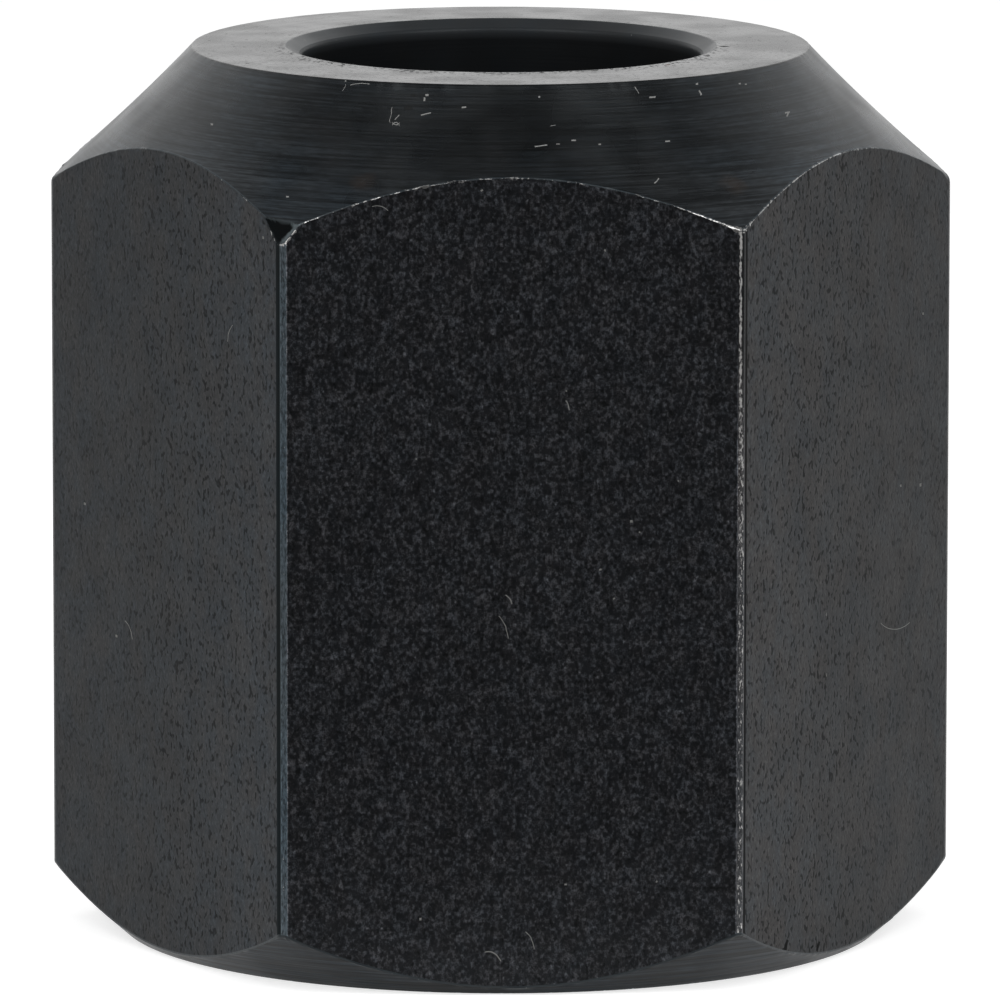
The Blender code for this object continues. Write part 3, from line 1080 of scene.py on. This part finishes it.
FLAT_COLOUR = (0.0129, 0.0134, 0.0149)
LEFT_COLOUR = (0.0110, 0.0123, 0.0142)
SIDE_COLOUR = (0.0119, 0.0120, 0.0130)
TURNED_COLOUR = (0.0039, 0.0046, 0.0053)
TAIL_COLOUR = (0.0034, 0.0050, 0.0068)
EDGE_COLOUR = (0.0130, 0.0165, 0.0192)
NEUTRAL_EDGE_COLOUR = (0.0160, 0.0158, 0.0166)
# Painted light: the mouth chamfer and the bore just below it are coloured lighter than the other turned faces, for
# the light they catch
LIT_MOUTH_COLOUR = (0.019, 0.021, 0.023)
# Painted shade: the dark colours of the lines beside the corners, the left one also of the struck facet
SHADE_LINE_COLOUR = (0.0155, 0.0155, 0.0160)
LEFT_SHADE_LINE_COLOUR = (0.0125, 0.0152, 0.0165)
COOL_TINT = (0.90, 0.97, 1.0, 1)
BLUE_TINT = (0.80, 0.92, 1.0, 1)
MATTE_IOR = 1.20
TURNED_IOR = 1.36
BRIGHT_IOR = 1.45
DULL_IOR = 1.08

GRAINY = [((12, 12, 10), 5.0, 2.0), ((2.5, 2.5, 2.0), 6.0, 1.0)]
TURNED = [((0.3, 0.3, 21), 2.6, 1.0), ((3, 3, 15), 0.8, 1.0)]
COARSE = [((0.2, 0.2, 9), 11.0, 2.0)]
RINGED = [((0.35, 0.35, 5), 7.0, 2.0), ((7, 7, 7), 0.9, 1.0)]
DRAWN = [((20, 20, 0.6), 1.2, 1.0)]


def nose_face_finish():
    oxide = Oxide("nose_face", TURNED_COLOUR, 0.23, BRIGHT_IOR, RINGED, ringed=True, patches=(0.7, 0.7, 0.7))
    share = oxide.shader.math("MULTIPLY", oxide.near_mouth(), oxide.towards_front(1.0, -4.0, 0.1))
    oxide.pits((9, 5, 4), 0.5, 8.0, soft=0.2, share=share, dull=0.5)
    oxide.pits((5, 5, 5), 0.34, 0.7, soft=0.14, dull=0.12)
    for spots, colour in ((RING_SMUDGES, DIRT), (RING_RUST, RUST)):
        mask = soft_spots(oxide.shader, oxide.place, spots)
        oxide.cover(oxide.shader.math("MULTIPLY", mask, 0.8), colour, 0.9)
    return oxide.worn().dusty(1.4, 0.06, 0.2).finish()


def nose_flank_finish():
    oxide = Oxide("nose_flank", TURNED_COLOUR, 0.30, TURNED_IOR, TURNED, patches=(0.45, 0.45, 0.6), hue=0.08)
    oxide.mottle((0.3, 0.3, 25), 0.3, 0.7, 0.5, 1.6, detail=1.0)
    oxide.mottle((3, 3, 22), 0.3, 0.7, 0.75, 1.3, detail=1.0)
    oxide.mottle((0.4, 0.4, 1.6), 0.2, 0.8, 0.7, 1.3, detail=2.0)
    oxide.stains(NOSE_STAINS).worn().dusty(1.3, 0.04)
    return oxide.marked(0, NOSE_MARKS, NOSE_LINT).marked(0, NOSE_CRUMBS, DIRT).finish(COOL_TINT)


def front_flat_finish():
    oxide = Oxide("front_flat", FLAT_COLOUR, 0.36, MATTE_IOR, GRAINY, patches=(3, 3, 2.4), hue=0.035)
    oxide.mottle((13, 13, 10.5), 0.42, 0.80, 0.70, 4.9).mottle((5, 5, 3.6), 0.3, 0.7, 0.76, 1.26, detail=1.0)
    oxide.mottle((10, 10, 6.5), 0.61, 0.72, 1.0, 1.9, detail=1.0)
    oxide.pits((8, 8, 6), 0.43, 5.0, shade=0.45, soft=0.15)
    return oxide.worn().dusty(0.9, 0.03).marked(0, FRONT_MARKS).finish(COOL_TINT)


def side_flat_finish(name, colour, heading=0, marks=(), crumbs=()):
    oxide = Oxide(name, colour, 0.36, MATTE_IOR, GRAINY, patches=(1.2, 1.2, 0.9), hue=0.16)
    oxide.mottle((10, 10, 8), 0.42, 0.80, 0.9, 2.4)
    share = oxide.towards_front(-2.0, -6.0, 0.6)
    oxide.pits((9, 9, 6.6), 0.48, 2.8, shade=0.25, soft=0.18, share=share, dull=0.22)
    oxide.worn().dusty(1.1, 0.03)
    if marks:
        oxide.marked(heading, marks)
    if crumbs:
        oxide.marked(heading, crumbs, DIRT)
    return oxide.finish(COOL_TINT)


def corner_finish(name, colour):
    oxide = Oxide(name, colour, 0.30, TURNED_IOR, DRAWN, hue=0.06)
    oxide.mottle((24, 24, 7), 0.3, 0.7, 0.4, 1.7, detail=2.0)
    oxide.worn(grain=(20, 20, 8), steel=RUBBED_STEEL, roughness=0.5)
    return oxide.dusty(1.5, 0.05, 0.15).finish(COOL_TINT)


def tail_chamfer_finish():
    oxide = Oxide("tail_chamfer", TAIL_COLOUR, 0.34, MATTE_IOR, COARSE, hue=0.06)
    oxide.mottle((0.3, 0.3, 12), 0.35, 0.65, 0.1, 3.0, detail=1.0)
    oxide.mottle((2, 2, 18), 0.3, 0.7, 0.6, 1.4, detail=1.0)
    return oxide.worn().dusty(1.5, 0.05, 0.15).finish(BLUE_TINT)


def plain_finish(name, colour, roughness, ior, layers, ringed=False):
    oxide = Oxide(name, colour, roughness, ior, layers, ringed=ringed).worn().dusty(1.5, 0.05, 0.15)
    return oxide.finish(COOL_TINT)


def zone_materials():
    """One finish for each zone of the nut, in the order of ZONES."""
    return [
        nose_face_finish(),
        nose_flank_finish(),
        plain_finish("worn_arc", EDGE_COLOUR, 0.34, TURNED_IOR, GRAINY),
        front_flat_finish(),
        side_flat_finish("right_flat", SIDE_COLOUR, 60, RIGHT_MARKS, RIGHT_CRUMBS),
        side_flat_finish("back_flats", SIDE_COLOUR),
        side_flat_finish("left_flat", LEFT_COLOUR, -60, LEFT_MARKS),
        # The corner bands are painted lighter by the tone attribute; their bare steel is wear
        corner_finish("corner", NEUTRAL_EDGE_COLOUR),
        corner_finish("left_corner", EDGE_COLOUR),
        # Painted shade: the lines beside the corners and the struck facet take dark, dull finishes that hardly
        # reflect
        plain_finish("corner_painted_shade", SHADE_LINE_COLOUR, 0.60, DULL_IOR, DRAWN),
        plain_finish("left_painted_shade", LEFT_SHADE_LINE_COLOUR, 0.60, DULL_IOR, DRAWN),
        tail_chamfer_finish(),
        plain_finish("tail_face", TURNED_COLOUR, 0.36, TURNED_IOR, RINGED, ringed=True),
        plain_finish("mouth_chamfer", LIT_MOUTH_COLOUR, 0.34, TURNED_IOR, TURNED),
        plain_finish("bore", LIT_MOUTH_COLOUR, 0.40, MATTE_IOR, TURNED),
        plain_finish("seat", TURNED_COLOUR, 0.32, TURNED_IOR, TURNED),
        plain_finish("groove", FLAT_COLOUR, 0.42, TURNED_IOR, COARSE),
        plain_finish("thread", FLAT_COLOUR, 0.40, TURNED_IOR, TURNED),
    ]


def make_nut():
    mesh = nut_mesh()
    nut = bpy.data.objects.new("collet_nut_finish", mesh)
    bpy.context.scene.collection.objects.link(nut)
    for material in zone_materials():
        mesh.materials.append(material)
    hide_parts(NODE)
    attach(nut, "root")
    return nut


FLOOR_RADIUS = 0.6
FLOOR_GAP = 0.02 * MM
FLOOR_LEVEL = 0.52
# Painted shade: the floor is dark in front of the nut, for the front flat to reflect it
FLOOR_FRONT_LEVEL = 0.045
FLOOR_FADE = (-0.019, -0.0105)
FLOOR_GLOW = 1.35


def floor_material():
    """A pale floor that darkens towards the front, white to the camera, and clear from below."""
    material = bpy.data.materials.new("pale_floor")
    material.use_nodes = True
    shader = Shader(material.node_tree)
    surface = material.node_tree.nodes["Principled BSDF"]
    place = shader.node("ShaderNodeTexCoord").outputs["Object"]
    depth = shader.node("ShaderNodeSeparateXYZ", Vector=place).outputs[1]
    level = shader.ease(depth, *FLOOR_FADE, FLOOR_FRONT_LEVEL, FLOOR_LEVEL)
    grey = shader.node("ShaderNodeCombineColor", Red=level, Green=level, Blue=level).outputs[0]
    shader.feed(surface.inputs["Base Color"], grey)
    surface.inputs["Roughness"].default_value = 0.9
    surface.inputs["Specular IOR Level"].default_value = 0.1
    surface.inputs["Emission Color"].default_value = (1, 1, 1, 1)
    rays = shader.node("ShaderNodeLightPath").outputs
    shown = shader.math("MAXIMUM", rays["Is Glossy Ray"], rays["Is Transmission Ray"])
    shown = shader.math("MAXIMUM", rays["Is Camera Ray"], shown)
    glow = shader.math("MULTIPLY", shown, shader.math("MULTIPLY", level, FLOOR_GLOW))
    shader.feed(surface.inputs["Emission Strength"], glow)
    under = shader.node("ShaderNodeNewGeometry").outputs["Backfacing"]
    clear = shader.node("ShaderNodeBsdfTransparent").outputs[0]
    both = shader.node("ShaderNodeMixShader")
    shader.feed(both.inputs[0], under)
    shader.feed(both.inputs[1], surface.outputs[0])
    shader.feed(both.inputs[2], clear)
    output = material.node_tree.nodes["Material Output"]
    shader.feed(output.inputs["Surface"], both.outputs[0])
    return material


def make_floor():
    bm = bmesh.new()
    bmesh.ops.create_circle(bm, cap_ends=True, radius=FLOOR_RADIUS, segments=96)
    mesh = bpy.data.meshes.new("floor")
    bm.to_mesh(mesh)
    bm.free()
    mesh.materials.append(floor_material())
    floor = bpy.data.objects.new("floor", mesh)
    floor.location.z = -FLOOR_GAP
    bpy.context.scene.collection.objects.link(floor)


# Level of the studio's walls, from straight ahead of the nut's front (0) to behind it (1)
WALLS = ((0.0, 0.11), (0.34, 0.11), (0.58, 0.85), (1.0, 0.95))
CEILING = 0.078
CEILING_RISE = (0.55, 0.88)


def make_world():
    """A studio with white walls behind and beside the nut, and a dim front and ceiling."""
    world = bpy.data.worlds.new("studio")
    bpy.context.scene.world = world
    world.use_nodes = True
    shader = Shader(world.node_tree)
    place = shader.node("ShaderNodeTexCoord").outputs["Generated"]
    parts = shader.node("ShaderNodeSeparateXYZ", Vector=place).outputs
    heading = shader.math(
        "ARCTAN2", shader.math("ABSOLUTE", parts[0]), shader.math("MULTIPLY", parts[1], -1.0)
    )
    ramp = shader.node("ShaderNodeValToRGB", Fac=shader.math("DIVIDE", heading, math.pi))
    ramp.color_ramp.interpolation = "EASE"
    stops = ramp.color_ramp.elements
    while len(stops) < len(WALLS):
        stops.new(0.5)
    for stop, (share, level) in zip(stops, WALLS):
        stop.position = share
        stop.color = (level, level, level, 1)
    upward = shader.ease(parts[2], *CEILING_RISE)
    light = shader.mix(upward, ramp.outputs[0], (CEILING, CEILING, CEILING, 1))
    shader.feed(world.node_tree.nodes["Background"].inputs["Color"], light)


# Softboxes: azimuth and elevation in degrees, power in watts
SOFTBOXES = (
    ("left_softbox", -40.0, 45.0, 0.55),
    ("right_softbox", 40.0, 45.0, 0.55),
)
SOFTBOX_DISTANCE = 0.30
SOFTBOX_SIZE = (0.14, 0.24)


def make_softboxes():
    centre = Vector((0, 0, HEIGHT * MM / 2))
    for name, azimuth, elevation, watts in SOFTBOXES:
        a, e = math.radians(azimuth), math.radians(elevation)
        back = Vector((math.sin(a) * math.cos(e), -math.cos(a) * math.cos(e), math.sin(e)))
        light = bpy.data.lights.new(name, "AREA")
        light.shape = "RECTANGLE"
        light.size, light.size_y = SOFTBOX_SIZE
        light.energy = watts
        lamp = bpy.data.objects.new(name, light)
        lamp.location = centre + back * SOFTBOX_DISTANCE
        lamp.rotation_mode = "QUATERNION"
        lamp.rotation_quaternion = (-back).to_track_quat("-Z", "Y")
        bpy.context.scene.collection.objects.link(lamp)


# The photograph's camera, fitted to the nut's edges: angles in degrees, lengths in millimetres
CAMERA_AZIMUTH = -1.4865
CAMERA_ELEVATION = 9.2738
CAMERA_ROLL = -0.0528
CAMERA_DISTANCE = 318.7721
CAMERA_AIM = (-0.0207, -0.3906)
CAMERA_LENS = 469.1139
CAMERA_SENSOR = 36.0


def make_camera():
    a, e = math.radians(CAMERA_AZIMUTH), math.radians(CAMERA_ELEVATION)
    back = Vector((math.sin(a) * math.cos(e), -math.cos(a) * math.cos(e), math.sin(e)))
    level = (-back).to_track_quat("-Z", "Y")
    turn = level @ Quaternion((0, 0, 1), math.radians(-CAMERA_ROLL))
    right, up = turn @ Vector((1, 0, 0)), turn @ Vector((0, 1, 0))
    centre = Vector((0, 0, HEIGHT / 2))
    data = bpy.data.cameras.new("camera")
    data.lens = CAMERA_LENS
    data.sensor_width = CAMERA_SENSOR
    data.clip_start = 0.01
    data.clip_end = 10.0
    camera = bpy.data.objects.new("camera", data)
    place = centre + back * CAMERA_DISTANCE + right * CAMERA_AIM[0] + up * CAMERA_AIM[1]
    camera.location = place * MM
    camera.rotation_mode = "QUATERNION"
    camera.rotation_quaternion = turn
    bpy.context.scene.collection.objects.link(camera)
    bpy.context.scene.camera = camera


make_nut()
make_floor()
make_world()
make_softboxes()
make_camera()
bpy.context.scene.view_settings.view_transform = "Standard"
